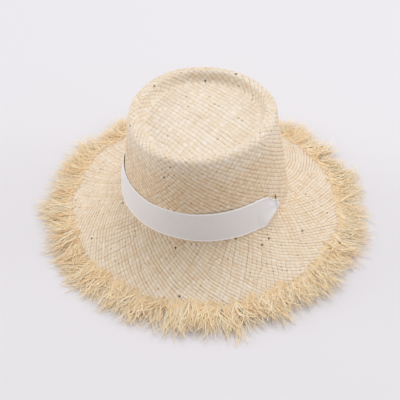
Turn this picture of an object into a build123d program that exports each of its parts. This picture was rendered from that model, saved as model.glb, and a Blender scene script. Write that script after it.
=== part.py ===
"""A plaited raffia sun hat: one woven body with a sunken crown tip and a frayed brim, a grosgrain ribbon
round the front that goes in through two slits, and a cotton sweatband sewn inside. Millimetres, +Z up,
the wearer faces -Y, and the hat stands on its fringe at Z = 0."""

from build123d import *
import math
import os

# Driving dimensions
STRAW = 2.4                # thickness of the plaited raffia
HEAD_R = 94.0              # outside radius where the crown meets the brim
BREAK_Z = 41.0             # height of that line above the ground
TIP_Z = 151.0              # height of the rolled rim round the tip
TIP_HALF_LENGTH = 83.5     # half length of the tip, front to back
TIP_HALF_WIDTH = 76.3      # half width of the tip
TIP_FORWARD = 12.0         # how far the tip sits in front of the head opening
TIP_NARROWING = 0.09       # how much narrower the tip is at the front than a plain ellipse
RIM_ROLL = 7.0             # outer radius of the rolled rim
RECESS_DEPTH = 12.0        # how far the tip is pushed down inside its rim
RECESS_TOP_INSET = 9.5     # rim's width, from the wall to the recess
RECESS_FLOOR_INSET = 19.0  # from the wall to the edge of the recess's floor
BRIM_R = 159.5             # radius of the woven brim
BRIM_EDGE_Z = 3.2          # height of the woven edge's underside
FRINGE_R = 196.0           # reach of the frayed strand ends
FRINGE_HEIGHT = 7.0        # depth of the loose strands at their roots
RIBBON_WIDTH = 38.0
RIBBON_THICKNESS = 0.8
SLIT_ANGLE = 85.0          # from the front to each slit, about the Z axis
SLIT_HEIGHT = 8.0
SLIT_WIDTH = 3.4
SLIT_Z = 58.5              # middle of each slit
TAIL_LENGTH = 22.0         # ribbon end that lies inside the crown
TAIL_HEIGHT = 20.0
SWEATBAND_WIDTH = 30.0
SWEATBAND_THICKNESS = 0.8
THREAD = 0.6
LABEL = (22.0, 0.6, 14.0)

# Derived places
GAP = 0.1                  # between cloth and straw
STATIONS = 24              # points round each oval section
RIBBON_Z = BREAK_Z + 2.5
SWEATBAND_Z = BREAK_Z + 1.0
TAIL_INSET = STRAW + 4 * GAP   # insets are measured inwards from the crown's outer wall
TACK_INSET = TAIL_INSET + RIBBON_THICKNESS + GAP
BAND_INSET = TACK_INSET + THREAD + GAP
THREAD_INSET = BAND_INSET + SWEATBAND_THICKNESS + GAP
REACH = 2 * HEAD_R         # longer than any cut across the crown


def oval_point(angle, rise, inset):
    """A point of the crown's wall, angle from the front, rise 0 at the brim and 1 at the tip."""
    base_x = (HEAD_R - inset) * math.sin(angle)
    base_y = -(HEAD_R - inset) * math.cos(angle)
    narrowing = 1 - TIP_NARROWING * math.cos(angle)
    tip_x = (TIP_HALF_WIDTH - inset) * math.sin(angle) * narrowing
    tip_y = -(TIP_HALF_LENGTH - inset) * math.cos(angle) - TIP_FORWARD
    return (base_x + (tip_x - base_x) * rise, base_y + (tip_y - base_y) * rise)


def crown_block(sections):
    """A solid lofted through oval sections, each a height and an inset from the outer wall."""
    with BuildPart() as block:
        for height, inset in sections:
            rise = (height - BREAK_Z) / (TIP_Z - BREAK_Z)
            with BuildSketch(Plane.XY.offset(height)):
                with BuildLine():
                    angles = [2 * math.pi * i / STATIONS for i in range(STATIONS)]
                    Spline(*[oval_point(a, rise, inset) for a in angles], periodic=True)
                make_face()
        loft(ruled=True)
    return block.part


def crown_sleeve(low, high, outer_inset, inner_inset):
    """A thin sleeve that follows the crown's wall between two heights."""
    with BuildPart() as sleeve:
        add(crown_block([(BREAK_Z, outer_inset), (TIP_Z, outer_inset)]))
        add(crown_block([(BREAK_Z, inner_inset), (TIP_Z, inner_inset)]), mode=Mode.SUBTRACT)
        with Locations((0, 0, (low + high) / 2)):
            Box(2 * REACH, 2 * REACH, high - low, mode=Mode.INTERSECT)
    return sleeve.part


def wall_point(degrees, height, inset):
    """A place on the crown's wall, degrees round from the front towards +X."""
    rise = (height - BREAK_Z) / (TIP_Z - BREAK_Z)
    return oval_point(math.radians(degrees), rise, inset)


def finish(piece, label):
    piece.part.label = label
    export_step(piece.part, f"parts/{label}.step")


os.makedirs("parts", exist_ok=True)

# The crown's outside: a tapering wall, a rolled rim and a recess with a flat floor
recess_floor = TIP_Z - RECESS_DEPTH
with BuildPart() as crown_outside:
    add(crown_block([(BREAK_Z, 0), (TIP_Z, 0)]))
    fillet(crown_outside.edges().group_by(Axis.Z)[-1], RIM_ROLL)
    add(crown_block([(recess_floor, RECESS_FLOOR_INSET), (TIP_Z + 1, RECESS_TOP_INSET)]), mode=Mode.SUBTRACT)

# The same shape one straw thickness further in, which is the hollow for the head
with BuildPart() as crown_inside:
    add(crown_block([(BREAK_Z - 6.0, STRAW), (TIP_Z - STRAW, STRAW)]))
    fillet(crown_inside.edges().group_by(Axis.Z)[-1], RIM_ROLL - STRAW)
    add(
        crown_block(
            [
                (recess_floor - STRAW, RECESS_FLOOR_INSET - STRAW),
                (TIP_Z + 1, RECESS_TOP_INSET - STRAW),
            ]
        ),
        mode=Mode.SUBTRACT,
    )

# Straw body: crown and brim are one piece of plaiting
slit_x, slit_y = wall_point(SLIT_ANGLE, SLIT_Z, 0)
slope = math.atan2(BREAK_Z - BRIM_EDGE_Z - STRAW, BRIM_R - HEAD_R)
with BuildPart() as straw_body:
    with BuildSketch(Plane.XZ):
        with BuildLine():
            inner = HEAD_R - STRAW + 1.0
            under = Line((inner, BREAK_Z + 3.0), (inner, BREAK_Z - 1.2))
            turn = ThreePointArc(under @ 1, (inner + 1.6, BREAK_Z - 3.0), (inner + 4.6, BREAK_Z - 4.8))
            underside = ThreePointArc(turn @ 1, (127.2, 19.4), (BRIM_R - 1.2, BRIM_EDGE_Z))
            edge = Line(underside @ 1, (BRIM_R, BRIM_EDGE_Z + 2.2))
            topside = ThreePointArc(edge @ 1, (128.3, 21.7), (HEAD_R + 4.6, BREAK_Z - 2.2))
            blend = ThreePointArc(topside @ 1, (HEAD_R + 0.8, BREAK_Z), (HEAD_R - 0.9, BREAK_Z + 3.0))
            Line(blend @ 1, under @ 0)
        make_face()
    revolve(axis=Axis.Z)
    add(crown_outside.part)
    add(crown_inside.part, mode=Mode.SUBTRACT)
    with Locations((slit_x, slit_y, SLIT_Z), (-slit_x, slit_y, SLIT_Z)):
        Box(4 * STRAW, SLIT_WIDTH, SLIT_HEIGHT, mode=Mode.SUBTRACT)
finish(straw_body, "straw_body")

# Fringe: the ends of the two lays of strands, frayed out past the edge stitching and lying on each other
lay_height = (FRINGE_HEIGHT - GAP) / 2
for lay, foot in (("fringe_right_lay", 0.0), ("fringe_left_lay", lay_height + GAP)):
    with BuildPart() as fringe:
        with BuildSketch(Plane.XZ):
            with BuildLine():
                root = Line((BRIM_R + GAP, foot), (BRIM_R + GAP, foot + lay_height))
                crest = Line(root @ 1, (BRIM_R + 20.0, foot + lay_height))
                tips = Line(crest @ 1, (FRINGE_R - foot, foot + lay_height / 2))
                toe = Line(tips @ 1, (FRINGE_R - foot, foot))
                Line(toe @ 1, root @ 0)
            make_face()
        revolve(axis=Axis.Z)
    finish(fringe, lay)

# Edge stitching: a row of thread on top of the brim and one under it, holding the last row of plaiting
stitch_r = BRIM_R - 4.0
with BuildPart() as edge_stitching:
    for height in (BRIM_EDGE_Z + 5.15, BRIM_EDGE_Z + 0.65):
        with BuildSketch(Plane.XZ):
            with Locations((stitch_r, height)):
                Rectangle(2 * THREAD, THREAD, rotation=math.degrees(-slope) * 0.9)
        revolve(axis=Axis.Z)
finish(edge_stitching, "edge_stitching")

# Ribbon: a flat band round the front, drawn together to each slit, with its ends flat inside the crown
ribbon_top = RIBBON_Z + RIBBON_WIDTH
gather_y = slit_y - 17.0
neck = SLIT_HEIGHT - 2.4
tail_start = slit_y - 1.2
depth = TAIL_INSET + 2 * RIBBON_THICKNESS
with BuildPart() as ribbon_tails:
    add(crown_sleeve(SLIT_Z - TAIL_HEIGHT / 2, SLIT_Z + TAIL_HEIGHT / 2, TAIL_INSET,
                     TAIL_INSET + RIBBON_THICKNESS))
    with Locations((0, tail_start + TAIL_LENGTH / 2, SLIT_Z)):
        Box(2 * REACH, TAIL_LENGTH, TAIL_HEIGHT, mode=Mode.INTERSECT)
with BuildPart() as ribbon_band:
    add(crown_sleeve(RIBBON_Z, ribbon_top, -GAP - RIBBON_THICKNESS, -GAP))
    with BuildSketch(Plane.YZ):
        with BuildLine():
            Polyline(
                (-REACH, RIBBON_Z - 1),
                (gather_y, RIBBON_Z - 1),
                (slit_y + 1.2, SLIT_Z - neck / 2),
                (slit_y + 1.2, SLIT_Z + neck / 2),
                (gather_y, ribbon_top + 1),
                (-REACH, ribbon_top + 1),
                close=True,
            )
        make_face()
    extrude(amount=REACH, both=True, mode=Mode.INTERSECT)
    add(ribbon_tails.part)
    neck_x = slit_x - depth / 2 + RIBBON_THICKNESS
    with Locations((neck_x, slit_y, SLIT_Z), (-neck_x, slit_y, SLIT_Z)):
        Box(depth, 2.2, neck)
finish(ribbon_band, "ribbon_band")

# Ribbon tacks: three short bars of thread across each ribbon end, sewn through the straw
for side, label in ((1, "ribbon_tack_left"), (-1, "ribbon_tack_right")):
    with BuildPart() as tack:
        for step in range(3):
            tack_z = SLIT_Z + (step - 1) * TAIL_HEIGHT / 3
            tack_x, tack_y = wall_point(SLIT_ANGLE + 6, tack_z, TACK_INSET + THREAD / 2)
            with Locations((side * tack_x, tack_y, tack_z)):
                Box(THREAD / 2, 4.0, THREAD)
    finish(tack, label)

# Sweatband: a cotton band sewn in at the foot of the crown
with BuildPart() as sweatband:
    add(crown_sleeve(SWEATBAND_Z, SWEATBAND_Z + SWEATBAND_WIDTH, BAND_INSET, BAND_INSET + SWEATBAND_THICKNESS))
finish(sweatband, "sweatband")

# Sweatband stitching: the row of thread that holds the band's lower edge
with BuildPart() as sweatband_stitching:
    add(crown_sleeve(SWEATBAND_Z + 2.0, SWEATBAND_Z + 2.0 + THREAD, THREAD_INSET, THREAD_INSET + THREAD))
finish(sweatband_stitching, "sweatband_stitching")

# Size label: a small blank woven tab at the back of the sweatband, and the bars of thread at its ends
label_z = SWEATBAND_Z + SWEATBAND_WIDTH / 2 + 3.0
label_edge = math.degrees(LABEL[0] / 2 / HEAD_R)
label_y = wall_point(180 - label_edge, label_z + LABEL[2] / 2, THREAD_INSET + LABEL[1] / 2)[1] - 3 * GAP
with BuildPart() as size_label:
    with Locations((0, label_y, label_z)):
        Box(*LABEL)
finish(size_label, "size_label")

with BuildPart() as label_stitches:
    for side in (-1, 1):
        with Locations((side * (LABEL[0] / 2 - 1.5), label_y - LABEL[1] / 2 - THREAD / 2, label_z)):
            Box(THREAD, THREAD, LABEL[2] - 3.0)
finish(label_stitches, "label_stitches")
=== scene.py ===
import math

import bpy
import numpy as np
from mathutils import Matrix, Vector


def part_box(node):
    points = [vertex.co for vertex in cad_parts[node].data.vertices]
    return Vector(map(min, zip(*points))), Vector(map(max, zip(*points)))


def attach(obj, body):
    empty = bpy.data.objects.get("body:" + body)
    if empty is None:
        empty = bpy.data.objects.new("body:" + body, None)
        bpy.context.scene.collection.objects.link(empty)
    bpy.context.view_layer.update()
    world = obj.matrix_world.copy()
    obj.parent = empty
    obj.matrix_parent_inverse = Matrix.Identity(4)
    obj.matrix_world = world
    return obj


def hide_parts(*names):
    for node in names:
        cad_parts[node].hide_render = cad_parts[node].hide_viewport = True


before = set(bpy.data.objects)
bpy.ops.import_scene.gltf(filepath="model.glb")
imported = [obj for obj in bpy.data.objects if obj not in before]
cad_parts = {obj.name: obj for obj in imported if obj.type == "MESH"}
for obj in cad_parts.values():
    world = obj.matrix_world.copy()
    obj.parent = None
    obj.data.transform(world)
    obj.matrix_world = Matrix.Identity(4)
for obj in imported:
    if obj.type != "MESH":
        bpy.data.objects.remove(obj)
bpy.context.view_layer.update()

# ---------------------------------------------------------------------------
# Camera: a long lens, looking down on the hat's front from a little to the wearer's left. It circles the
# middle of the crown and is aimed at the middle of the whole hat.
# ---------------------------------------------------------------------------
CAMERA_AZIMUTH = 26.0
CAMERA_ELEVATION = 42.0
CAMERA_DISTANCE = 1.0
CAMERA_LENS = 80.2
crown_middle = Vector((0.0, 0.0, 0.06))
aim = Vector((0.0049, -0.0230, 0.0347))


def around(azimuth, elevation, distance):
    """A place seen from the hat: azimuth 0 is in front of it, and grows towards the wearer's left."""
    turn, lift = math.radians(azimuth), math.radians(elevation)
    flat = distance * math.cos(lift)
    return Vector((flat * math.sin(turn), -flat * math.cos(turn), distance * math.sin(lift)))


camera = bpy.data.objects.new("camera", bpy.data.cameras.new("camera"))
camera.data.lens = CAMERA_LENS
camera.data.clip_end = 20.0
camera.location = crown_middle + around(CAMERA_AZIMUTH, CAMERA_ELEVATION, CAMERA_DISTANCE)
camera.rotation_euler = (aim - camera.location).to_track_quat("-Z", "Y").to_euler()
bpy.context.scene.collection.objects.link(camera)
bpy.context.scene.camera = camera

# ---------------------------------------------------------------------------
# Straw body: crown and brim are one piece of plaited raffia. Two lays of strands cross over and under
# each other from the middle of the tip outwards. The plait is wetted and pressed on a block, which
# pushes the tip down inside a rolled rim, and the brim is left sloping. All sizes here are millimetres.
# ---------------------------------------------------------------------------
straw_high = np.array(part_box("straw_body")[1]) * 1000
STRAW = 2.4
HEAD_R = 94.0
BREAK_Z = 41.0
TIP_Z = straw_high[2]
TIP_HALF_LENGTH = 83.5
TIP_HALF_WIDTH = 76.3
TIP_FORWARD = 12.0
TIP_NARROWING = 0.09
BRIM_R = straw_high[0]
FLOOR_INSET = 19.0
FLOOR_HALF = (TIP_HALF_LENGTH + TIP_HALF_WIDTH) / 2 - FLOOR_INSET
STRAND = 4.5
FLOOR_STRANDS = (5.2, 5.6)

# The hat's section from the middle of the tip to the brim's edge, as corners: the inset from the wall,
# the height, and the radius that turns the corner
SECTION = [
    (FLOOR_INSET + FLOOR_HALF, TIP_Z - 9.4, 0.0),
    (FLOOR_INSET + 24.0, TIP_Z - 9.8, 60.0),
    (FLOOR_INSET - 0.8, TIP_Z - 12.0, 9.0),
    (10.4, TIP_Z + 0.3, 7.0),
    (0.2, TIP_Z + 0.3, 6.8),
    (0.0, BREAK_Z - 0.8, 7.0),
    (-31.0, 22.6, 90.0),
    (HEAD_R - BRIM_R, 5.2, 0.0),
]


def rounded_line(corners):
    """Points along straight runs whose corners are turned with curves of the given radii."""
    points = [np.array(corners[0][:2])]
    for before, corner, after in zip(corners, corners[1:], corners[2:]):
        middle = np.array(corner[:2])
        into = middle - np.array(before[:2])
        away = np.array(after[:2]) - middle
        into, away = into / np.linalg.norm(into), away / np.linalg.norm(away)
        reach = corner[2] * math.tan(math.acos(np.clip(into @ away, -1, 1)) / 2)
        start, end = middle - into * reach, middle + away * reach
        for t in np.linspace(0, 1, 13):
            points.append((1 - t) ** 2 * start + 2 * t * (1 - t) * middle + t * t * end)
    points.append(np.array(corners[-1][:2]))
    return np.array(points)


section = rounded_line(SECTION)
section_run = np.concatenate([[0], np.cumsum(np.linalg.norm(np.diff(section, axis=0), axis=1))])
RUN_END = section_run[-1]


def run_at_height(height):
    """How far along the section the crown's wall is at a height."""
    wall = (section[:, 0] < 0.4) & (section[:, 0] > -0.4)
    return float(np.interp(-height, -section[wall][:, 1], section_run[wall]))


RUN_WALL = run_at_height(TIP_Z - 11.0)
RUN_BRIM = run_at_height(BREAK_Z + 4.5)


def crown_place(angle, inset, height):
    """A point of the hat at an angle from the front, an inset from the crown's wall and a height."""
    rise = np.clip((height - BREAK_Z) / (TIP_Z - BREAK_Z), 0, 1.1)
    core = np.minimum(inset, FLOOR_INSET)
    shrink = 1 - np.maximum(inset - FLOOR_INSET, 0) / FLOOR_HALF
    base_x = (HEAD_R - core) * np.sin(angle)
    base_y = -(HEAD_R - core) * np.cos(angle)
    tip_x = (TIP_HALF_WIDTH - core) * np.sin(angle) * (1 - TIP_NARROWING * np.cos(angle))
    tip_y = -(TIP_HALF_LENGTH - core) * np.cos(angle)
    x = (base_x + (tip_x - base_x) * rise) * shrink
    y = (base_y + (tip_y - base_y) * rise) * shrink - TIP_FORWARD * rise
    return np.stack([x, y, height + 0 * x], axis=-1)


def body_place(run, angle):
    """A point of the hat's outer face, with the small unevenness of a hand-blocked hat."""
    inset = np.interp(run, section_run, section[:, 0])
    height = np.interp(run, section_run, section[:, 1])
    on_wall = np.clip(run / RUN_WALL, 0, 1) * np.clip((RUN_BRIM - run) / 30, 0, 1)
    inset = inset + 0.5 * on_wall * np.sin(3 * angle + run / 31)
    inset = inset + 0.35 * on_wall * np.sin(7 * angle - run / 17)
    tip = np.clip((RUN_WALL - run) / 30, 0, 1)
    height = height + 0.5 * tip * np.sin(2 * angle + run / 14)
    height = height + 0.35 * tip * (1 - on_wall) * np.sin(5 * angle + 1)
    out = np.clip((run - RUN_BRIM) / (RUN_END - RUN_BRIM), 0, 1)
    wave = 1.5 + np.sin(2 * angle - 0.9) + 0.5 * np.sin(5 * angle + 0.6)
    height = height + 2.0 * wave * out * out + 0.5 * out * np.sin(9 * angle + run / 12)
    return crown_place(angle, inset, height)


def body_normal(run, angle):
    """The outward normal of the outer face, from two short steps along it."""
    step = 0.4
    along = body_place(run + step, angle) - body_place(run - step, angle)
    turn = step / 60.0
    aside = body_place(run, angle + turn) - body_place(run, angle - turn)
    normal = np.cross(along, aside)
    length = np.linalg.norm(normal, axis=-1, keepdims=True)
    normal = normal / np.maximum(length, 1e-9)
    return np.where(length > 1e-6, normal, np.array([0.0, 0.0, 1.0]))


def chance(*whole):
    """A repeatable random number from 0 to 1 for each set of whole numbers."""
    mixed = sum(np.asarray(value) * factor for value, factor in zip(whole, (12.9898, 78.233, 37.719)))
    return np.modf(np.abs(np.sin(mixed) * 43758.5453))[0]


# COUNTS is how many strands of each lay there are, once round the hat, at each of COUNT_RUNS. Two at a
# time are worked in as the hat widens, spread by the golden angle, and some of those joins leave a hole.
RUN_FLOOR = float(np.interp(-FLOOR_INSET, -section[:, 0], section_run))
COUNT_RUNS = [RUN_FLOOR, RUN_WALL, RUN_BRIM - 12, RUN_BRIM + 10, RUN_END]
COUNTS = [54, 72, 78, 112, 168]
table_run = np.linspace(0.5, RUN_END, 800)
table_place = crown_place(
    math.pi / 2,
    np.interp(table_run, section_run, section[:, 0]),
    np.interp(table_run, section_run, section[:, 1]),
)
table_girth = table_place[:, 0]
table_spread = np.concatenate([[0], np.cumsum(np.diff(table_run) / table_girth[1:])])
JOIN_RUNS = np.interp(np.arange(COUNTS[0] + 1, COUNTS[-1], 2), COUNTS, COUNT_RUNS)
GOLDEN_ANGLE = math.pi * (3 - math.sqrt(5))
join_order = np.arange(len(JOIN_RUNS))
JOIN_TURNS = [(join_order * GOLDEN_ANGLE + first) % (2 * math.pi) - math.pi for first in (0.4, 2.9)]
# How steeply each lay winds round on its way out, in strands for each millimetre
RIGHT_LAY_SLOPE = np.interp(table_run, [RUN_WALL, RUN_BRIM - 10, RUN_BRIM + 8], [0.166, 0.166, 0.213])
LEFT_LAY_SLOPE = np.interp(table_run, [RUN_WALL, RUN_BRIM - 10, RUN_BRIM + 8], [0.135, 0.130, 0.088])
table_step = table_run[1] - table_run[0]
SLOPES = [np.cumsum(slope) * table_step for slope in (RIGHT_LAY_SLOPE, LEFT_LAY_SLOPE)]


def strand_count(run, turn, lay):
    """Which strand of a lay each point is on, with the way across it as the fraction. Each join adds two
    strands outside it, and its angle term bends their neighbours aside without a break."""
    spread = np.interp(run, table_run, table_spread)
    shrunk = np.exp(-spread) * np.exp(-1j * turn)
    total = COUNTS[0] * turn
    for join_run, join_turn in zip(JOIN_RUNS, JOIN_TURNS[lay]):
        grown = np.exp(np.interp(join_run, table_run, table_spread) + 1j * join_turn)
        total = total + 2 * (turn - join_turn + np.angle(1 - shrunk * grown))
    along = np.interp(run, table_run, SLOPES[lay])
    return along + (-1 if lay == 0 else 1) * total / (2 * math.pi)


def plait(run, angle, turned_over):
    """Height, colour data and fibre direction of the plait at each point of the hat."""
    # a and b count across the strands of the two lays, which lean opposite ways
    turn = (angle + math.pi) % (2 * math.pi) - math.pi
    a = strand_count(run, turn, 0)
    b = strand_count(run, turn, 1)
    # The floor of the tip is laid straight across, and the rounds start outside it
    x, y = run * np.sin(turn), -run * np.cos(turn)
    on_floor = run < RUN_FLOOR - 1 + 1.5 * np.sin(9 * turn)
    a = np.where(on_floor, (0.28 * x + 0.96 * y) / FLOOR_STRANDS[0], a)
    b = np.where(on_floor, (1.00 * x - 0.09 * y) / FLOOR_STRANDS[1], b)
    a, b = a + 0.05 * np.sin(b * 0.5 * math.pi + 1), b + 0.05 * np.sin(a * 0.5 * math.pi)
    strand_a, strand_b = np.floor(a), np.floor(b)
    off_a, off_b = a - strand_a - 0.5, b - strand_b - 0.5
    # Each lay is a row of rounded strands that rises and dips as it passes over and under the other
    over = 1 - 2 * np.mod(strand_a + strand_b + turned_over, 2)
    wide_a = 0.93 + 0.1 * chance(strand_a, 3)
    wide_b = 0.93 + 0.1 * chance(strand_b, 8)
    edge_a, edge_b = np.abs(2 * off_a / wide_a), np.abs(2 * off_b / wide_b)
    round_a = np.sqrt(np.clip(1 - edge_a**2.5, 0, 1)) - 1
    round_b = np.sqrt(np.clip(1 - edge_b**4, 0, 1)) - 1
    top_a = 0.26 * over * np.cos(math.pi * off_b) + 0.7 * round_a
    top_b = -0.36 * over * np.cos(math.pi * off_a) + 0.3 * round_b
    first = top_a >= top_b
    height = np.maximum(top_a, top_b)
    # Holes at some joins are drawn as dents that are painted near black, as painted shade
    pit = np.zeros_like(height)
    girth = np.interp(JOIN_RUNS, table_run, table_girth)
    for lay, every in ((0, 3), (1, 4)):
        for join_run, join_turn, radius in list(zip(JOIN_RUNS, JOIN_TURNS[lay], girth))[::every]:
            away = np.hypot(run - join_run, (turn - join_turn) * radius)
            pit = np.maximum(pit, np.clip((1.15 - away) / 0.4, 0, 1))
    # Seams between neighbours are painted dark as shade: one lay shows more in some places and the other
    # lay in others, and the press has closed them on the tip
    swing = 0.5 + 0.5 * np.sin(0.2 * a + np.sin(0.17 * b) + 1.0)
    line_a = (0.45 + 0.55 * chance(np.round(a), 21)) * (0.8 + 0.2 * swing)
    line_b = (0.25 + 0.6 * chance(np.round(b), 22)) * (1.0 - 0.55 * swing)
    uneven = 0.35 + 0.65 * chance(strand_a, strand_b, 11)
    seam_a = line_a * np.clip((2 * np.abs(off_a) - 0.68) / 0.26, 0, 1)
    seam_b = line_b * np.clip((2 * np.abs(off_b) - 0.7) / 0.26, 0, 1)
    pressed = np.interp(run, [RUN_FLOOR, RUN_WALL - 12, RUN_WALL + 10], [0.7, 0.8, 1.25])
    seam = np.minimum(np.maximum(seam_a, seam_b) * uneven * pressed, 1)
    # Some strands are creased down the middle, with painted shade along the crease, and some crossings
    # have a small nick painted dark as shade
    crease = np.clip(1 - np.where(first, edge_a, edge_b) / 0.16, 0, 1)
    fold = 0.4 * crease * chance(strand_b, strand_a, 4)
    corner = np.hypot(np.abs(off_a) - 0.5, np.abs(off_b) - 0.5)
    nick = np.clip((0.26 - corner) / 0.12, 0, 1) * (chance(np.round(a), np.round(b), 6) > 0.955)
    # Painted shade: darker where the strand dives low under its neighbour, in the seams, along creases
    # and in nicks
    light = np.clip((height + 0.7) / 0.7, 0, 1) * (1 - seam) * (1 - fold) * (1 - 0.8 * nick)
    strand = np.where(first, strand_a, strand_b + 500)
    along = np.where(first, b, a) * STRAND
    across = np.where(first, off_a, off_b) * STRAND
    tone = 0.26 + 0.24 * chance(strand, 1) + 0.22 * chance(strand_a, strand_b, 2)
    # Painted light and shade: the tip and the brim's edge are painted lighter, and the wall below the rim
    # darker
    painted_light_runs = [RUN_FLOOR, RUN_WALL, RUN_WALL + 25, RUN_BRIM, RUN_END]
    tone = tone + np.interp(run, painted_light_runs, [0.2, 0.15, -0.08, 0.0, 0.12])
    colour = np.stack([tone, light, pit, np.ones_like(pit)], axis=-1)
    fibre = np.stack([along, across, strand * 7.3], axis=-1)
    return height - 0.1 - 0.15 * fold - 0.3 * nick - 2.1 * pit, colour, fibre


def link(name, mesh):
    """Puts a mesh in the scene as a piece."""
    piece = bpy.data.objects.new(name, mesh)
    bpy.context.scene.collection.objects.link(piece)
    return piece


def solid_mesh(name, points, faces):
    """A smooth-shaded mesh from points in millimetres and groups of faces with equal corner counts."""
    mesh = bpy.data.meshes.new(name)
    faces = [np.asarray(group, dtype=np.int32) for group in faces if len(group)]
    corners = np.concatenate([group.ravel() for group in faces])
    sizes = np.concatenate([np.full(len(group), group.shape[1], dtype=np.int32) for group in faces])
    starts = np.concatenate([[0], np.cumsum(sizes)[:-1]]).astype(np.int32)
    mesh.vertices.add(len(points))
    mesh.vertices.foreach_set("co", (np.asarray(points) * 0.001).astype(np.float32).ravel())
    mesh.loops.add(len(corners))
    mesh.loops.foreach_set("vertex_index", corners)
    mesh.polygons.add(len(sizes))
    mesh.polygons.foreach_set("loop_start", starts)
    mesh.polygons.foreach_set("loop_total", sizes)
    mesh.polygons.foreach_set("use_smooth", np.ones(len(sizes), dtype=bool))
    mesh.update(calc_edges=True)
    mesh.set_sharp_from_angle(angle=math.radians(65))
    mesh.validate()
    return mesh


def paint(mesh, name, kind, values):
    """Stores a value for each vertex that the materials read."""
    field = {"FLOAT_COLOR": "color", "FLOAT_VECTOR": "vector"}[kind]
    data = mesh.attributes.new(name, kind, "POINT").data
    data.foreach_set(field, np.asarray(values, dtype=np.float32).ravel())


def grid_faces(index):
    """Quads between neighbouring points of a grid of vertex numbers."""
    corners = [index[:-1, :-1], index[1:, :-1], index[1:, 1:], index[:-1, 1:]]
    return np.stack(corners, axis=-1).reshape(-1, 4)


def border(index):
    """Vertex numbers once round the edge of a grid, back to the first."""
    return np.concatenate([index[0, :-1], index[:-1, -1], index[-1, :0:-1], index[::-1, 0]])


def rim_faces(outer, inner):
    """Triangles from an outer border to an inner one that has half as many points."""
    o0, o1, o2 = outer[:-2:2], outer[1:-1:2], outer[2::2]
    i0, i1 = inner[:-1], inner[1:]
    return np.concatenate([np.stack(t, axis=-1) for t in ((o0, o1, i0), (o1, i1, i0), (o1, o2, i1))])


def plait_piece(name, run, angle, slits=()):
    """One closed piece of the body: a fine outer face, an inner face and the rim between them. Each slit
    is a block of inner grid cells left open: first row, last row, first column, last column."""
    lift, colour, fibre = plait(run, angle, 0)
    outer = body_place(run, angle) + body_normal(run, angle) * lift[..., None]
    run_in, angle_in = run[::2, ::2], angle[::2, ::2]
    lift_in, colour_in, fibre_in = plait(run_in, angle_in, 1)
    inward = -body_normal(run_in, angle_in)
    inner = body_place(run_in, angle_in) + inward * (STRAW + lift_in + 0.3)[..., None]
    out_index = np.arange(run.size).reshape(run.shape)
    in_index = np.arange(run_in.size).reshape(run_in.shape) + run.size
    keep_out = np.ones((run.shape[0] - 1, run.shape[1] - 1), bool)
    keep_in = np.ones((run_in.shape[0] - 1, run_in.shape[1] - 1), bool)
    rims = [rim_faces(border(out_index), border(in_index))]
    for r0, r1, c0, c1 in slits:
        keep_out[2 * r0 : 2 * r1, 2 * c0 : 2 * c1] = False
        keep_in[r0:r1, c0:c1] = False
        out_edge = border(out_index[2 * r0 : 2 * r1 + 1, 2 * c0 : 2 * c1 + 1])
        in_edge = border(in_index[r0 : r1 + 1, c0 : c1 + 1])
        rims.append(rim_faces(out_edge, in_edge)[:, ::-1])
    outer_faces = grid_faces(out_index)[keep_out.ravel()]
    inner_faces = grid_faces(in_index)[keep_in.ravel()][:, ::-1]
    points = np.concatenate([outer.reshape(-1, 3), inner.reshape(-1, 3)])
    mesh = solid_mesh(name, points, [outer_faces, inner_faces, np.concatenate(rims)])
    both_colours = np.concatenate([colour.reshape(-1, 4), colour_in.reshape(-1, 4)])
    both_fibres = np.concatenate([fibre.reshape(-1, 3), fibre_in.reshape(-1, 3)])
    paint(mesh, "plait", "FLOAT_COLOR", both_colours)
    paint(mesh, "fibre", "FLOAT_VECTOR", both_fibres)
    piece = link(name, mesh)
    piece.data.materials.append(raffia)
    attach(piece, "root")
    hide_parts("straw_body")
    return piece


def linear(code):
    """An sRGB hex colour as linear red, green, blue and alpha."""
    parts = [int(code[i : i + 2], 16) / 255 for i in (1, 3, 5)]
    return (*[c / 12.92 if c <= 0.04045 else ((c + 0.055) / 1.055) ** 2.4 for c in parts], 1.0)


def add_node(tree, kind, sockets=(), **settings):
    """Adds a node, sets its settings, and fills its sockets with values or links."""
    node = tree.nodes.new(kind)
    for name, value in settings.items():
        setattr(node, name, value)
    for socket, value in dict(sockets).items():
        if isinstance(value, bpy.types.NodeSocket):
            tree.links.new(value, node.inputs[socket])
        else:
            node.inputs[socket].default_value = value
    return node


def new_material(name):
    """An empty material: its node tree and its surface socket."""
    material = bpy.data.materials.new(name)
    material.use_nodes = True
    material.node_tree.nodes.clear()
    output = add_node(material.node_tree, "ShaderNodeOutputMaterial")
    return material, material.node_tree, output.inputs["Surface"]


# Dried raffia leaf, split into strands and plaited: each strand has its own shade of straw, fine
# lengthwise fibres and a dull waxy gloss. Its colour is darkened as painted shade where it dives under
# its neighbour, in the seams, along creases and in nicks, and the holes are painted near black as shade.
# The fibres are about 0.15 mm wide, which is too fine to show, so they are drawn 0.6 mm wide.
raffia, tree, surface = new_material("raffia")
plait_data = add_node(tree, "ShaderNodeAttribute", attribute_name="plait")
split = add_node(tree, "ShaderNodeSeparateColor", {"Color": plait_data.outputs["Color"]})
fibre_data = add_node(tree, "ShaderNodeAttribute", attribute_name="fibre")
FIBRE_LENGTH, FIBRE_WIDTH = 14.0, 0.6
fibre_scale = add_node(
    tree, "ShaderNodeVectorMath",
    {0: fibre_data.outputs["Vector"], 1: (1 / FIBRE_LENGTH, 1 / FIBRE_WIDTH, 1.0)},
    operation="MULTIPLY",
)
fibres = add_node(
    tree, "ShaderNodeTexNoise", {"Vector": fibre_scale.outputs["Vector"], "Scale": 1.0, "Detail": 3.0}
)
strand_shade = add_node(tree, "ShaderNodeValToRGB", {"Fac": split.outputs["Red"]})
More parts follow.
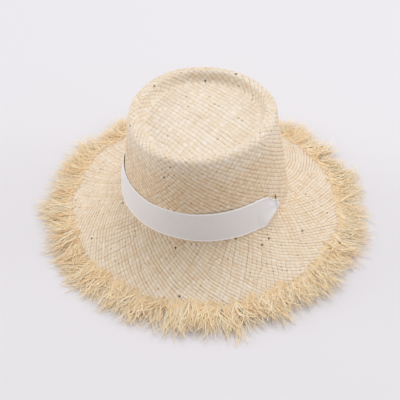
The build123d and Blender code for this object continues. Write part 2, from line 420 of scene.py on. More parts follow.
strand_shade.color_ramp.elements[0].color = linear("#E0C28E")
strand_shade.color_ramp.elements[1].color = linear("#FCF3E4")
blush = strand_shade.color_ramp.elements.new(0.2)
blush.color = linear("#E9CBA2")
middle = strand_shade.color_ramp.elements.new(0.5)
middle.color = linear("#F3DFC1")
fibre_shade = add_node(
    tree, "ShaderNodeMapRange",
    {"Value": fibres.outputs["Fac"], "From Min": 0.3, "From Max": 0.7, "To Min": 0.77, "To Max": 0.99}
)
shaded = add_node(
    tree, "ShaderNodeVectorMath",
    {0: strand_shade.outputs["Color"], "Scale": fibre_shade.outputs["Result"]},
    operation="SCALE",
)
# Painted shade: mixed towards a darker tan where the strands dive low, in the seams, creases and nicks
depth = add_node(
    tree, "ShaderNodeMapRange",
    {"Value": split.outputs["Green"], "From Min": 0.0, "From Max": 0.95, "To Min": 0.95, "To Max": 0.0}
)
painted_crevice_shade = add_node(
    tree, "ShaderNodeMix",
    {"Factor": depth.outputs["Result"], 6: shaded.outputs["Vector"], 7: linear("#A6744C")},
    data_type="RGBA",
)
# Painted shade: the holes are painted near black
painted_hole_shade = add_node(
    tree, "ShaderNodeMix",
    {"Factor": split.outputs["Blue"], 6: painted_crevice_shade.outputs[2], 7: linear("#1C110A")},
    data_type="RGBA",
)
fibre_bump = add_node(
    tree, "ShaderNodeBump", {"Height": fibres.outputs["Fac"], "Strength": 0.35, "Distance": 0.0003}
)
shader = add_node(
    tree, "ShaderNodeBsdfPrincipled",
    {
        "Base Color": painted_hole_shade.outputs[2],
        "Roughness": 0.52,
        "Specular IOR Level": 0.4,
        "Sheen Weight": 0.08,
        "Sheen Roughness": 0.5,
        "Normal": fibre_bump.outputs["Normal"],
    },
)
tree.links.new(shader.outputs["BSDF"], surface)

# The tip, as a square grid folded into rings, so its strands are as finely shaped as the brim's
TIP_RINGS = 136
side = np.arange(-TIP_RINGS, TIP_RINGS + 1, dtype=float)
across_grid, along_grid = np.meshgrid(side, side)
ring = np.maximum(np.abs(across_grid), np.abs(along_grid))
flat_side = np.abs(across_grid) >= np.abs(along_grid)
safe = np.where(ring == 0, 1, ring)
side_turn = along_grid / safe * np.sign(across_grid)
end_turn = 2 - across_grid / safe * np.sign(along_grid)
turn = np.where(flat_side, side_turn, end_turn)
turn = turn + np.where(flat_side, np.where(across_grid < 0, 4, 0), np.where(along_grid < 0, 4, 0))
plait_piece("straw_body_tip", ring / TIP_RINGS * RUN_WALL, turn * math.pi / 4)

# The wall, in four pieces, each side one with its slit for the ribbon. The ribbon is drawn together as it
# goes in, and its pull makes the slit gape above it.
SLIT_ANGLE = math.radians(85.0)
SLIT_Z, SLIT_HEIGHT, SLIT_WIDTH, SLIT_GAPE = 58.5, 8.0, 3.4, 5.5
WALL_ROWS, WALL_COLUMNS = 175, 273
wall_run = np.linspace(RUN_WALL, RUN_BRIM, WALL_ROWS)
for quarter in range(4):
    start = quarter * math.pi / 2 - math.pi / 4
    angles = np.linspace(start, start + math.pi / 2, WALL_COLUMNS)
    openings = []
    for centre in (SLIT_ANGLE, 2 * math.pi - SLIT_ANGLE):
        if start < centre < start + math.pi / 2:
            row = (run_at_height(SLIT_Z) - RUN_WALL) / (wall_run[2] - wall_run[0])
            column = (centre - start) / (angles[2] - angles[0])
            half_rows = SLIT_HEIGHT / 2 / (wall_run[2] - wall_run[0])
            gape = SLIT_GAPE / (wall_run[2] - wall_run[0])
            half_columns = SLIT_WIDTH / 2 / HEAD_R / (angles[2] - angles[0])
            rows = [round(row - half_rows - gape), round(row + half_rows)]
            openings.append(rows + [round(column - half_columns), round(column + half_columns)])
    run_grid, angle_grid = np.meshgrid(wall_run, angles, indexing="ij")
    plait_piece(f"straw_body_wall_{quarter + 1}", run_grid, angle_grid, openings)

# The brim, in six pieces
BRIM_ROWS, BRIM_COLUMNS, BRIM_PIECES = 143, 273, 6
for part in range(BRIM_PIECES):
    start = part * 2 * math.pi / BRIM_PIECES
    angles = np.linspace(start, start + 2 * math.pi / BRIM_PIECES, BRIM_COLUMNS)
    run_grid, angle_grid = np.meshgrid(np.linspace(RUN_BRIM, RUN_END, BRIM_ROWS), angles, indexing="ij")
    plait_piece(f"straw_body_brim_{part + 1}", run_grid, angle_grid)

# ---------------------------------------------------------------------------
# Fringe: past the edge stitching the strands are left long and combed out into their fibres. One lay
# leans to the right as it leaves the edge and the other to the left, over it, in tangled tufts. Real
# fibres are finer: each strip here stands for a few of them that cling together.
# ---------------------------------------------------------------------------
fringe_high = np.array(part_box("fringe_right_lay")[1]) * 1000
FRINGE_REACH = fringe_high[0] - BRIM_R
FIBRES_PER_TUFT = 20
FIBRE_JOINTS = 8


def fibre_bundle(name, tufts, lean, over, seed):
    """All the fibres of one lay, as thin three-sided strips that narrow to their tips. Each strand of
    the plait ends in one tuft."""
    # The tufts: where each one is, how it leans and curls, and how far it reaches
    rng = np.random.default_rng(seed)
    count = tufts * FIBRES_PER_TUFT
    tuft = np.repeat(np.arange(tufts), FIBRES_PER_TUFT)
    tuft_angle = 2 * math.pi * (np.arange(tufts) + 0.7 * rng.random(tufts)) / tufts
    swirl = 0.22 * np.sin(13 * tuft_angle + seed) + 0.2 * np.sin(29 * tuft_angle + 2 * seed)
    tuft_lean = lean * (1 + 0.3 * rng.normal(0, 1, tufts)) + swirl
    scallop = 0.1 * np.sin(19 * tuft_angle + 2 * seed)
    tuft_reach = FRINGE_REACH * (0.84 + 0.1 * rng.normal(0, 1, tufts) + scallop)
    tuft_tone = rng.random(tufts)
    tuft_curl = rng.normal(-0.45 * lean, 0.3, tufts)
    tuft_lift = rng.random(tufts)
    # The fibres in them: some are strays, and most are thin
    strand_half = math.pi / tufts
    root_angle = tuft_angle[tuft] + rng.uniform(-0.8, 0.8, count) * strand_half
    stray = rng.random(count) < 0.12
    heading = tuft_lean[tuft] + rng.normal(0, 1, count) * np.where(stray, 0.5, 0.15)
    curl = tuft_curl[tuft] + rng.normal(0, 0.45, count)
    wave = rng.normal(0, 0.3, count)
    phase = rng.random(count) * 2 * math.pi
    length = tuft_reach[tuft] * (1.12 - 0.5 * rng.random(count) ** 1.5)
    length = np.clip(length, 12, FRINGE_REACH * 1.12) + 6
    width = 0.35 + 1.15 * rng.random(count) ** 2.2
    # Each fibre starts flat on the brim, and is walked outwards joint by joint without passing the floor
    steps = np.linspace(0, 1, FIBRE_JOINTS)
    tuft_root = 2.4 + 2.0 * np.sin(11 * tuft_angle + seed) + 5.0 * rng.random(tufts) ** 3
    root_run = RUN_END - 0.8 - tuft_root[tuft] - 6.0 * rng.random(count) ** 2
    base = body_place(root_run, root_angle)
    place = base[:, :2].copy()
    height = base[:, 2] + 0.05 + 0.35 * rng.random(count) + 0.5 * over
    outward = np.stack([np.sin(root_angle), -np.cos(root_angle)], -1)
    sideways = np.stack([np.cos(root_angle), np.sin(root_angle)], -1)
    slope = -0.06 + 0.14 * (tuft_lift[tuft] - 0.5) + rng.normal(0, 0.04, count)
    rise = rng.normal(0.1, 0.12, count)
    floor_gap = 0.4 + 2.2 * rng.random(count) ** 2
    along = np.zeros((count, FIBRE_JOINTS, 3))
    for k, t in enumerate(steps):
        along[:, k, :2] = place
        along[:, k, 2] = np.maximum(height, floor_gap)
        angle_now = heading + curl * t + wave * np.sin(phase + 6 * t)
        step = (length / (FIBRE_JOINTS - 1))[:, None]
        heading_now = outward * np.cos(angle_now)[:, None] + sideways * np.sin(angle_now)[:, None]
        place = place + step * heading_now
        height = height + step[:, 0] * (slope + rise * t - 0.36 * math.exp(-5 * t))
    # The strip of leaf round that line, rolled a little more towards its tip
    tangent = np.gradient(along, axis=1)
    tangent /= np.linalg.norm(tangent, axis=-1, keepdims=True)
    root_roll = rng.normal(0, 0.15, count)[:, None, None]
    tip_roll = rng.normal(0, 0.3, count)[:, None, None]
    roll = root_roll + tip_roll * steps[None, :, None]
    flat = np.cross(np.array([0.0, 0.0, 1.0]), tangent)
    flat /= np.maximum(np.linalg.norm(flat, axis=-1, keepdims=True), 1e-6)
    up = np.cross(tangent, flat)
    across = flat * np.cos(roll) + up * np.sin(roll)
    above = up * np.cos(roll) - flat * np.sin(roll)
    taper = (1 - 0.7 * steps**2.2)[None, :, None] * (width / 2)[:, None, None]
    points = np.stack([along - across * taper, along + across * taper, along + above * 0.06], axis=2)
    points[..., 2] = np.maximum(points[..., 2], 0.15)
    index = np.arange(points.size // 3).reshape(count, FIBRE_JOINTS, 3)
    quads = []
    for p, q in ((0, 1), (1, 2), (2, 0)):
        corners = [index[:, :-1, p], index[:, 1:, p], index[:, 1:, q], index[:, :-1, q]]
        quads.append(np.stack(corners, -1).reshape(-1, 4))
    ends = np.concatenate([index[:, 0, :], index[:, -1, ::-1]])
    mesh = solid_mesh(name, points.reshape(-1, 3), [*quads, ends])
    tone = np.clip(0.5 * tuft_tone[tuft] + 0.5 * rng.random(count), 0, 1)
    colour = np.zeros((count, FIBRE_JOINTS, 3, 4))
    colour[..., 0] = tone[:, None, None]
    colour[..., 1] = steps[None, :, None]
    colour[..., 3] = 1
    paint(mesh, "strand", "FLOAT_COLOR", colour.reshape(-1, 4))
    return link(name, mesh)


# Combed raffia: the same leaf, but its yellower inner fibres show. The roots are painted darker and more
# golden as shade, and the fibres are painted paler towards their tips. A little light comes through it,
# so the tufts look soft.
combed_raffia, tree, surface = new_material("combed_raffia")
strand_data = add_node(tree, "ShaderNodeAttribute", attribute_name="strand")
split = add_node(tree, "ShaderNodeSeparateColor", {"Color": strand_data.outputs["Color"]})
fibre_tone = add_node(tree, "ShaderNodeValToRGB", {"Fac": split.outputs["Red"]})
fibre_tone.color_ramp.elements[0].color = linear("#F8CE93")
fibre_tone.color_ramp.elements[1].color = linear("#FFF7E1")
middle = fibre_tone.color_ramp.elements.new(0.5)
middle.color = linear("#FFE9BD")
root_shade = add_node(
    tree, "ShaderNodeMapRange",
    {"Value": split.outputs["Green"], "From Min": 0.0, "From Max": 0.45, "To Min": 0.5, "To Max": 0.0}
)
# Painted shade: the fibres are darker and more golden towards their roots
painted_root_shade = add_node(
    tree, "ShaderNodeMix",
    {"Factor": root_shade.outputs["Result"], 6: fibre_tone.outputs["Color"], 7: linear("#F4CE9A")},
    data_type="RGBA",
)
tip_paling = add_node(
    tree, "ShaderNodeMapRange",
    {"Value": split.outputs["Green"], "From Min": 0.4, "From Max": 1.0, "To Min": 0.0, "To Max": 0.4}
)
fringe_colour = add_node(
    tree, "ShaderNodeMix",
    {"Factor": tip_paling.outputs["Result"], 6: painted_root_shade.outputs[2], 7: linear("#FFF0D3")},
    data_type="RGBA",
)
shader = add_node(
    tree, "ShaderNodeBsdfPrincipled",
    {
        "Base Color": fringe_colour.outputs[2],
        "Roughness": 0.5,
        "Specular IOR Level": 0.4,
        "Sheen Weight": 0.45,
    },
)
glow = add_node(tree, "ShaderNodeBsdfTranslucent", {"Color": fringe_colour.outputs[2]})
thin_leaf = add_node(
    tree, "ShaderNodeMixShader", {0: 0.1, 1: shader.outputs["BSDF"], 2: glow.outputs["BSDF"]}
)
tree.links.new(thin_leaf.outputs["Shader"], surface)

for lay, lean, over, seed in (("fringe_right_lay", 0.6, 0.0, 11), ("fringe_left_lay", -0.42, 0.6, 29)):
    fringe = fibre_bundle(f"{lay}_fibres", COUNTS[-1], lean, over, seed)
    fringe.data.materials.append(combed_raffia)
    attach(fringe, "root")
    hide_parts(lay)

# ---------------------------------------------------------------------------
# Edge stitching: a lock stitch in straw-coloured cotton through the last rows of plait, seen on top of
# the brim and under it.
# ---------------------------------------------------------------------------
THREAD_R = 0.32
EDGE_STITCHES = 178
EDGE_INSET = 5.5
STITCH_GAP = 0.28


def stitches(starts, ends, ups, radius):
    """A short humped tube of thread from each start to each end, as points and faces."""
    rings, sides = 6, 6
    count = len(starts)
    steps = np.linspace(0, 1, rings)
    hump = np.sin(math.pi * steps)
    centre = starts[:, None] + (ends - starts)[:, None] * steps[None, :, None]
    centre = centre + ups[:, None] * (hump * radius * 0.9)[None, :, None]
    tangent = (ends - starts) / np.linalg.norm(ends - starts, axis=1, keepdims=True)
    aside = np.cross(tangent, ups)
    aside /= np.linalg.norm(aside, axis=1, keepdims=True)
    thick = radius * (0.45 + 0.55 * np.sqrt(hump))
    turns = np.arange(sides) * 2 * math.pi / sides
    spokes = aside[:, None] * np.cos(turns)[None, :, None] + ups[:, None] * np.sin(turns)[None, :, None]
    ring_points = centre[:, :, None] + thick[None, :, None, None] * spokes[:, None]
    index = np.arange(count * rings * sides).reshape(count, rings, sides)
    after = np.roll(index, -1, axis=2)
    quads = np.stack([index[:, :-1], after[:, :-1], after[:, 1:], index[:, 1:]], -1).reshape(-1, 4)
    caps = np.concatenate([index[:, 0, ::-1], index[:, -1]])
    return ring_points.reshape(-1, 3), [quads, caps]


def merged(parts):
    """Several lots of points and faces as one."""
    points, groups, offset = [], [], 0
    for lot_points, lot_faces in parts:
        points.append(lot_points)
        groups.extend(group + offset for group in lot_faces)
        offset += len(lot_points)
    return np.concatenate(points), groups


def ring_of_stitches(count, gap, place, normal, radius):
    """Stitches all round the hat, with a gap as a share of the pitch. Given an angle, place tells where
    the row is and normal which way it faces."""
    starts_at = 2 * math.pi * (np.arange(count) + gap / 2) / count
    ends_at = 2 * math.pi * (np.arange(count) + 1 - gap / 2) / count
    return stitches(place(starts_at), place(ends_at), normal((starts_at + ends_at) / 2), radius)


# Mercerised cotton thread, two plies twisted: matt, with a fine slant across each stitch and painted
# shade in the grooves between the plies. The plies cross every 0.7 mm, and bands at a scale of 1 repeat
# every 0.314 m.
cotton_thread, tree, surface = new_material("cotton_thread")
position = add_node(tree, "ShaderNodeTexCoord")
PLY = 0.0007
twist = add_node(
    tree, "ShaderNodeTexWave",
    {"Vector": position.outputs["Object"], "Scale": 0.314 / PLY, "Distortion": 1.5},
    wave_type="BANDS", bands_direction="DIAGONAL",
)
# Painted shade: darker in the grooves between the plies
twist_shade = add_node(
    tree, "ShaderNodeMix",
    {"Factor": twist.outputs["Fac"], 6: linear("#C9B48A"), 7: linear("#EFE2C6")}, data_type="RGBA"
)
twist_bump = add_node(
    tree, "ShaderNodeBump", {"Height": twist.outputs["Fac"], "Strength": 0.5, "Distance": 0.0002}
)
shader = add_node(
    tree, "ShaderNodeBsdfPrincipled",
    {"Base Color": twist_shade.outputs[2], "Roughness": 0.7, "Normal": twist_bump.outputs["Normal"]},
)
tree.links.new(shader.outputs["BSDF"], surface)

edge_run = RUN_END - EDGE_INSET


def edge_above(angle):
    """Where the row lies on top of the brim."""
    run = np.full_like(angle, edge_run)
    return body_place(run, angle) + body_normal(run, angle) * 0.25


def edge_below(angle):
    """Where the row lies under the brim."""
    run = np.full_like(angle, edge_run)
    return body_place(run, angle) - body_normal(run, angle) * (STRAW + 0.15)


def edge_up(angle):
    """The brim's upward direction along the row."""
    return body_normal(np.full_like(angle, edge_run), angle)


points, faces = merged(
    [
        ring_of_stitches(EDGE_STITCHES, STITCH_GAP, edge_above, edge_up, THREAD_R),
        ring_of_stitches(EDGE_STITCHES, STITCH_GAP, edge_below, lambda angle: -edge_up(angle), THREAD_R),
    ]
)
edge_thread = link("edge_thread", solid_mesh("edge_thread", points, faces))
edge_thread.data.materials.append(cotton_thread)
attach(edge_thread, "root")
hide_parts("edge_stitching")

# ---------------------------------------------------------------------------
# Ribbon: white cotton grosgrain, laid flat round the front of the crown. Near each slit it is drawn
# together in folds, goes in through the slit, and opens out again flat against the inside.
# ---------------------------------------------------------------------------
RIBBON_BOTTOM, RIBBON_TOP = (corner[2] * 1000 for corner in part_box("ribbon_band"))
RIBBON_WIDTH = RIBBON_TOP - RIBBON_BOTTOM
RIBBON_THICKNESS = 0.7
THROUGH = 4.0
TAIL = 22.0
RIB = 1.3
WARP_YARNS_PER_MM = 2.2
to_slit = HEAD_R * SLIT_ANGLE
ribbon_half = to_slit + THROUGH + TAIL
# The route, by the distance along the ribbon from its middle: round the hat to the slit, through the
# wall, and on behind it
route_along = np.array([0, to_slit, to_slit + THROUGH, ribbon_half])
route_angle = np.array([0, SLIT_ANGLE, SLIT_ANGLE + 0.005, SLIT_ANGLE + TAIL / HEAD_R])
inset_along = [to_slit - 3.0, to_slit, to_slit + THROUGH, ribbon_half]
route_inset = [-0.25, -0.4, STRAW + 0.35, STRAW + 0.35]
# The edges on the way: how far the top one has come down, and how far the bottom one has risen. The
# last two places are inside the crown.
before_slit = [-60.0, -45.0, -28.0, -22.0, -14.0, -7.5, -2.5, 0.0]
edge_along = to_slit + np.array(before_slit + [THROUGH, THROUGH + TAIL])
top_inside = [RIBBON_TOP - SLIT_Z - 2.2, RIBBON_TOP - SLIT_Z - 9.0]
bottom_inside = [SLIT_Z - 3.4 - RIBBON_BOTTOM, SLIT_Z - 9.0 - RIBBON_BOTTOM]
top_drop = [-0.8, -0.6, 0.8, 2.3, 5.0, 13.5, 16.0, 16.5] + top_inside
bottom_rise = [0.0, 0.3, -0.6, 2.8, 6.3, 9.6, 13.5, 15.5] + bottom_inside


def ribbon_surface(along, across, outside):
    """A point of the ribbon: along it from the front, across it from -1 to 1, and its outward offset."""
    reach = np.abs(along)
    top = RIBBON_TOP - np.interp(reach, edge_along, top_drop)
    bottom = RIBBON_BOTTOM + np.interp(reach, edge_along, bottom_rise)
    angle = np.sign(along) * np.interp(reach, route_along, route_angle)
    inset = np.interp(reach, inset_along, route_inset)
    # Folds where it is drawn together: along both edges, a flared lower corner, and a knob at the slit
    drawn = np.clip((reach - to_slit + 30) / 14, 0, 1)
    inside = reach > to_slit + THROUGH / 2
    hem = np.exp(-(((across + 0.84) / 0.12) ** 2)) + 0.4 * np.exp(-(((across - 0.92) / 0.1) ** 2))
    near_slit = np.clip((reach - to_slit + 34) / 8, 0, 1) * np.clip((to_slit - reach) / 3, 0, 1)
    flare = 2.0 * near_slit * ((1 - across) / 2) ** 2
    knob = 1.8 * np.exp(-(((reach - to_slit + 1.8) / 2.0) ** 2))
    pleat = drawn * (0.9 * hem + 0.35 * drawn * np.cos(across * 5.5)) + flare + knob
    inset = inset + np.where(inside, 0.5 * drawn, -1.0 * pleat) - outside
    height = bottom + (top - bottom) * (across + 1) / 2
    wander = 0.25 * np.sin(along / 23) + 0.15 * np.sin(along / 9 + 1)
    edge_lift = 0.25 * across**2
    inset = inset - np.where(inside, 0, edge_lift)
    return crown_place(angle, inset, height + np.where(inside, 0, wander))


RIBBON_COLUMNS, RIBBON_ROWS = 1001, 41
ribbon_along = np.linspace(-ribbon_half, ribbon_half, RIBBON_COLUMNS)
ribbon_across = np.linspace(-1, 1, RIBBON_ROWS)
across_grid, along_grid = np.meshgrid(ribbon_across, ribbon_along)
rib = 0.07 * np.cos(2 * math.pi * along_grid / RIB) * (np.abs(across_grid) < 0.93)
selvedge = 0.08 * (np.abs(across_grid) > 0.93)
front = ribbon_surface(along_grid, across_grid, RIBBON_THICKNESS + rib + selvedge)
back = ribbon_surface(along_grid, across_grid, 0 * along_grid)
front_index = np.arange(front.size // 3).reshape(front.shape[:2])
back_index = front_index + front.size // 3


def closed_band(front_index, back_index):
    """Faces of a thin band: its front, its back and all four edges."""
    loop_front, loop_back = border(front_index), border(back_index)
    edge = np.stack([loop_front[:-1], loop_front[1:], loop_back[1:], loop_back[:-1]], -1)
    return [np.concatenate([grid_faces(front_index), grid_faces(back_index)[:, ::-1], edge])]


ribbon_points = np.concatenate([front.reshape(-1, 3), back.reshape(-1, 3)])
ribbon_mesh = solid_mesh("ribbon", ribbon_points, closed_band(front_index, back_index))
ribbon_marks = np.stack([along_grid, across_grid * RIBBON_WIDTH / 2, 0 * along_grid], -1).reshape(-1, 3)
paint(ribbon_mesh, "cloth", "FLOAT_VECTOR", np.concatenate([ribbon_marks, ribbon_marks]))

# White cotton grosgrain: close cross ribs with painted shade in the grooves between them, a soft,
# slightly cool sheen and firm edges. Real ribs are nearer 0.9 mm apart, and are drawn 1.3 mm apart so
# that they show.
grosgrain, tree, surface = new_material("grosgrain")
cloth_data = add_node(tree, "ShaderNodeAttribute", attribute_name="cloth")
cloth_axes = add_node(tree, "ShaderNodeSeparateXYZ", {"Vector": cloth_data.outputs["Vector"]})
rib_phase = add_node(
    tree, "ShaderNodeMath", {0: cloth_axes.outputs["X"], 1: 2 * math.pi / RIB}, operation="MULTIPLY"
)
rib_wave = add_node(tree, "ShaderNodeMath", {0: rib_phase.outputs["Value"]}, operation="COSINE")
yarn_scale = add_node(
    tree, "ShaderNodeVectorMath",
    {0: cloth_data.outputs["Vector"], 1: (1 / RIB, WARP_YARNS_PER_MM, 1.0)}, operation="MULTIPLY"
)
yarns = add_node(
    tree, "ShaderNodeTexNoise", {"Vector": yarn_scale.outputs["Vector"], "Scale": 1.0, "Detail": 2.0}
)
rib_shade = add_node(
    tree, "ShaderNodeMapRange",
    {"Value": rib_wave.outputs["Value"], "From Min": -1.0, "From Max": 0.3, "To Min": 0.0, "To Max": 1.0}
)
# Painted shade: the grooves between the ribs are darker
painted_rib_shade = add_node(
    tree, "ShaderNodeMix",
    {"Factor": rib_shade.outputs["Result"], 6: linear("#DEDBDB"), 7: linear("#EAE8E9")},
    data_type="RGBA",
)
off_middle = add_node(tree, "ShaderNodeMath", {0: cloth_axes.outputs["Y"]}, operation="ABSOLUTE")
at_selvedge = add_node(
    tree, "ShaderNodeMapRange",
    {
        "Value": off_middle.outputs["Value"],
        "From Min": RIBBON_WIDTH / 2 - 2.0,
        "From Max": RIBBON_WIDTH / 2 - 1.0,
    },
)
ribbon_colour = add_node(
    tree, "ShaderNodeMix",
    {"Factor": at_selvedge.outputs["Result"], 6: painted_rib_shade.outputs[2], 7: linear("#FBFBFC")},
    data_type="RGBA",
)
yarn_bump = add_node(
    tree, "ShaderNodeBump", {"Height": yarns.outputs["Fac"], "Strength": 0.25, "Distance": 0.0002}
)
shader = add_node(
    tree, "ShaderNodeBsdfPrincipled",
    {
        "Base Color": ribbon_colour.outputs[2],
        "Roughness": 0.6,
        "Sheen Weight": 0.25,
        "Sheen Roughness": 0.4,
        "Normal": yarn_bump.outputs["Normal"],
    },
)
tree.links.new(shader.outputs["BSDF"], surface)

ribbon = link("ribbon", ribbon_mesh)
ribbon.data.materials.append(grosgrain)
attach(ribbon, "root")
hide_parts("ribbon_band")

# ---------------------------------------------------------------------------
# Ribbon tacks: three short bars of cotton thread that sew each ribbon end to the plait inside. Each bar
# is four turns of the thread, side by side.
# ---------------------------------------------------------------------------
TACK_LENGTH, TACK_SPACING = 4.0, 20.0 / 3
TACK_THREADS, TACK_THREAD_PITCH, TACK_THREAD_R = 4, 0.45, 0.24
TACK_INSET = STRAW + RIBBON_THICKNESS
tack_reach = TACK_LENGTH / 2 / HEAD_R
for side, side_name in ((1, "left"), (-1, "right")):
    lots = []
    tack_angle = side * (SLIT_ANGLE + math.radians(6))
    for bar in (-1, 0, 1):
        thread = (np.arange(TACK_THREADS) - (TACK_THREADS - 1) / 2) * TACK_THREAD_PITCH
        heights = SLIT_Z + bar * TACK_SPACING + thread
        starts = crown_place(np.full(TACK_THREADS, tack_angle - tack_reach), TACK_INSET, heights)
        ends = crown_place(np.full(TACK_THREADS, tack_angle + tack_reach), TACK_INSET, heights)
        inward = -(starts + ends) * np.array([1.0, 1.0, 0.0])
        inward /= np.linalg.norm(inward, axis=1, keepdims=True)
        lots.append(stitches(starts, ends, inward, TACK_THREAD_R))
    points, faces = merged(lots)
    tack = link(f"tack_thread_{side_name}", solid_mesh(f"tack_thread_{side_name}", points, faces))
    tack.data.materials.append(cotton_thread)
    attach(tack, "root")
    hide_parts(f"ribbon_tack_{side_name}")

# ---------------------------------------------------------------------------
# Sweatband: a strip of cotton twill inside the foot of the crown, its ends lapped at the back, with a
# row of stitches along its lower edge.
# ---------------------------------------------------------------------------
BAND_BOTTOM, BAND_TOP = (corner[2] * 1000 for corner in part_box("sweatband"))
BAND_WIDTH = BAND_TOP - BAND_BOTTOM
BAND_INSET = 4.1
BAND_THICKNESS = 0.8
BAND_COLUMNS, BAND_ROWS = 721, 21
LAP = math.radians(4.0)
band_angle = np.linspace(math.pi, 3 * math.pi + LAP, BAND_COLUMNS)
band_across = np.linspace(0, 1, BAND_ROWS)
across_grid, angle_grid = np.meshgrid(band_across, band_angle)


def band_place(angle, across, depth):
    """A point of the sweatband: across 0 is its sewn lower edge and 1 its free upper edge."""
    pucker = 0.16 * np.sin(angle * 62) * np.exp(-((across - 0.08) ** 2) / 0.01)
    ease = 0.175 * np.sin(angle * 5 + 1) * across
    lapped = 0.9 * np.clip((angle - 3 * math.pi) / LAP + 0.4, 0, 1)
    inset = BAND_INSET + depth + pucker + ease + lapped
    return crown_place(angle, inset, BAND_BOTTOM + across * BAND_WIDTH)


hem = 0.12 * ((across_grid > 0.9) | (across_grid < 0.05))
inside_face = band_place(angle_grid, across_grid, BAND_THICKNESS + hem)
wall_face = band_place(angle_grid, across_grid, 0)
front_index = np.arange(inside_face.size // 3).reshape(inside_face.shape[:2])
band_faces = closed_band(front_index, front_index + inside_face.size // 3)
band_points = np.concatenate([inside_face.reshape(-1, 3), wall_face.reshape(-1, 3)])
band_mesh = solid_mesh("sweatband_strip", band_points, band_faces)
band_marks = np.stack([angle_grid * HEAD_R, across_grid * BAND_WIDTH, 0 * angle_grid], -1).reshape(-1, 3)
paint(band_mesh, "cloth", "FLOAT_VECTOR", np.concatenate([band_marks, band_marks]))

# Natural cotton twill: fine slanting wales, matt, with painted shade between them. Real wales are nearer
# 0.5 mm apart, and are drawn 0.9 mm apart so that they show.
cotton_twill, tree, surface = new_material("cotton_twill")
WALE = 0.9
cloth_data = add_node(tree, "ShaderNodeAttribute", attribute_name="cloth")
slant = add_node(
    tree, "ShaderNodeVectorMath", {0: cloth_data.outputs["Vector"], 1: (0.5 / WALE, 0.87 / WALE, 0.0)},
    operation="DOT_PRODUCT",
)
wale_phase = add_node(
    tree, "ShaderNodeMath", {0: slant.outputs["Value"], 1: 2 * math.pi}, operation="MULTIPLY"
)
wale = add_node(tree, "ShaderNodeMath", {0: wale_phase.outputs["Value"]}, operation="SINE")
wale_shade = add_node(
    tree, "ShaderNodeMapRange", {"Value": wale.outputs["Value"], "From Min": -1.0, "From Max": 1.0}
)
# Painted shade: darker between the wales
twill_colour_with_painted_shade = add_node(
    tree, "ShaderNodeMix",
    {"Factor": wale_shade.outputs["Result"], 6: linear("#D5C6A8"), 7: linear("#EEE5D2")},
    data_type="RGBA",
)
wale_bump = add_node(
    tree, "ShaderNodeBump", {"Height": wale.outputs["Value"], "Strength": 0.4, "Distance": 0.0003}
)
shader = add_node(
    tree, "ShaderNodeBsdfPrincipled",
    {
        "Base Color": twill_colour_with_painted_shade.outputs[2],
        "Roughness": 0.85,
        "Sheen Weight": 0.2,
        "Normal": wale_bump.outputs["Normal"],
    },
)
tree.links.new(shader.outputs["BSDF"], surface)

sweatband = link("sweatband_strip", band_mesh)
sweatband.data.materials.append(cotton_twill)
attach(sweatband, "root")
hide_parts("sweatband")

BAND_STITCHES = 128
BAND_STITCH_GAP = 0.3
BAND_THREAD_R = 0.3
stitch_across = 2.3 / BAND_WIDTH


def band_stitch_place(angle):
    """Where the row lies on the inside of the band."""
    return band_place(angle, stitch_across, BAND_THICKNESS + 0.1)


def band_stitch_up(angle):
    """The direction from the band to the middle of the hat."""
    return np.stack([-np.sin(angle), np.cos(angle), 0 * angle], -1)


points, faces = ring_of_stitches(
    BAND_STITCHES, BAND_STITCH_GAP, band_stitch_place, band_stitch_up, BAND_THREAD_R
)
band_thread = link("sweatband_thread", solid_mesh("sweatband_thread", points, faces))
band_thread.data.materials.append(cotton_thread)
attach(band_thread, "root")
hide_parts("sweatband_stitching")

# ---------------------------------------------------------------------------
# Size label: a small blank tab of woven tape on the back of the sweatband, sewn down at its two ends.
# ---------------------------------------------------------------------------
label_low, label_high = (np.array(corner) * 1000 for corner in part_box("size_label"))
label_size = label_high - label_low
label_centre = (label_high + label_low) / 2
LABEL_BEND = 190.0
LABEL_SEAT = 0.35
LABEL_THREAD_R = 0.22
label_across, label_up = np.meshgrid(np.linspace(-1, 1, 45), np.linspace(-1, 1, 29))


def label_face(depth):
    """The tab's face at a depth into the hat, bent round the band behind it."""
    x = label_across * label_size[0] / 2
    z = label_centre[2] + label_up * label_size[2] / 2
    y = label_high[1] + LABEL_SEAT - x * x / LABEL_BEND - depth
    y = y + 0.1 * np.sin(label_across * 9) * label_up
    return np.stack([x, y, z], -1)


front, back = label_face(label_size[1]), label_face(0)
front_index = np.arange(label_across.size).reshape(label_across.shape)
label_mesh = solid_mesh(
    "blank_label", np.concatenate([front.reshape(-1, 3), back.reshape(-1, 3)]),
    closed_band(front_index.T, front_index.T + label_across.size),
)

# Woven polyester tape: a fine plain weave with a faint satin gloss, and nothing printed on it. Its yarns
# are about 0.2 mm, and are drawn 0.6 mm so that the weave shows.
woven_tape, tree, surface = new_material("woven_tape")
position = add_node(tree, "ShaderNodeTexCoord")
TAPE_YARN = 0.0006
tape_weave = add_node(
    tree, "ShaderNodeTexChecker",
    {
        "Vector": position.outputs["Object"],
        "Scale": 1 / TAPE_YARN,
        "Color1": linear("#F2F0EA"),
        "Color2": linear("#D9D6CD"),
    },
)
tape_bump = add_node(
    tree, "ShaderNodeBump", {"Height": tape_weave.outputs["Fac"], "Strength": 0.3, "Distance": 0.0001}
)
shader = add_node(
    tree, "ShaderNodeBsdfPrincipled",
    {"Base Color": tape_weave.outputs["Color"], "Roughness": 0.45, "Normal": tape_bump.outputs["Normal"]},
)
tree.links.new(shader.outputs["BSDF"], surface)

label = link("blank_label", label_mesh)
label.data.materials.append(woven_tape)
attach(label, "root")
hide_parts("size_label")

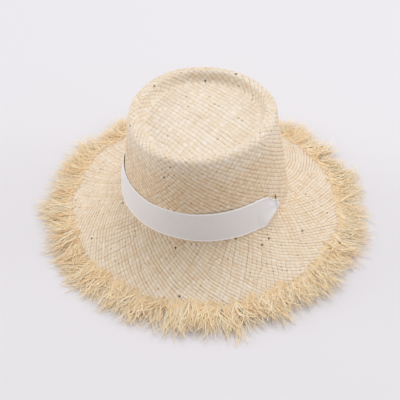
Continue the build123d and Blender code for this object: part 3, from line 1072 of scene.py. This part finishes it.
LABEL_STITCHES = 4
STITCH_INSET = 1.5
STITCH_SPACE = 0.8
pitch = (label_size[2] - 2 * STITCH_INSET) / LABEL_STITCHES
heights = label_low[2] + STITCH_INSET + STITCH_SPACE / 2 + pitch * np.arange(LABEL_STITCHES)
facing = np.tile([0.0, -1.0, 0.0], (LABEL_STITCHES, 1))
lots = []
for end in (-1, 1):
    x = end * (label_size[0] / 2 - STITCH_INSET)
    y = label_high[1] + LABEL_SEAT - x * x / LABEL_BEND - label_size[1] - 0.05
    starts = np.stack([np.full(LABEL_STITCHES, x), np.full(LABEL_STITCHES, y), heights], -1)
    ends = starts + np.array([0.0, 0.0, pitch - STITCH_SPACE])
    lots.append(stitches(starts, ends, facing, LABEL_THREAD_R))
points, faces = merged(lots)
label_thread = link("label_thread", solid_mesh("label_thread", points, faces))
label_thread.data.materials.append(cotton_thread)
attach(label_thread, "root")
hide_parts("label_stitches")

# ---------------------------------------------------------------------------
# Studio: a pale floor of matt paper and soft light, brightest from above and behind.
# ---------------------------------------------------------------------------
FLOOR_HALF_SIZE = 6000.0
corners = np.array([[-1, -1, 0], [1, -1, 0], [1, 1, 0], [-1, 1, 0]]) * FLOOR_HALF_SIZE
floor = link("floor", solid_mesh("floor", corners, [[[0, 1, 2, 3]]]))
paper, tree, surface = new_material("matt_paper")
shader = add_node(
    tree, "ShaderNodeBsdfPrincipled",
    {"Base Color": linear("#E2DFE1"), "Roughness": 0.9, "Specular IOR Level": 0.1},
)
tree.links.new(shader.outputs["BSDF"], surface)
floor.data.materials.append(paper)

world = bpy.data.worlds.new("studio")
world.use_nodes = True
world.node_tree.nodes["Background"].inputs["Color"].default_value = linear("#FFFDFC")
world.node_tree.nodes["Background"].inputs["Strength"].default_value = 0.58
bpy.context.scene.world = world
bpy.context.scene.view_settings.view_transform = "Standard"

# Name, azimuth from the camera and elevation in degrees, distance and size in metres, watts, colour
LIGHTS = [
    ("key", 152, 73, 2.4, 1.1, 26.5, "#F3F7FF"),
    ("left", -98, 16, 2.4, 1.2, 18.0, "#FDFDFF"),
    ("right", 92, 18, 2.4, 1.2, 13.5, "#FDFDFF"),
]
for name, azimuth, elevation, distance, size, power, colour in LIGHTS:
    lamp = bpy.data.objects.new(name, bpy.data.lights.new(name, "AREA"))
    lamp.data.size = size
    lamp.data.energy = power
    lamp.data.color = linear(colour)[:3]
    lamp.location = around(CAMERA_AZIMUTH + azimuth, elevation, distance)
    lamp.rotation_euler = (Vector((0, 0, 0.05)) - lamp.location).to_track_quat("-Z", "Y").to_euler()
    bpy.context.scene.collection.objects.link(lamp)
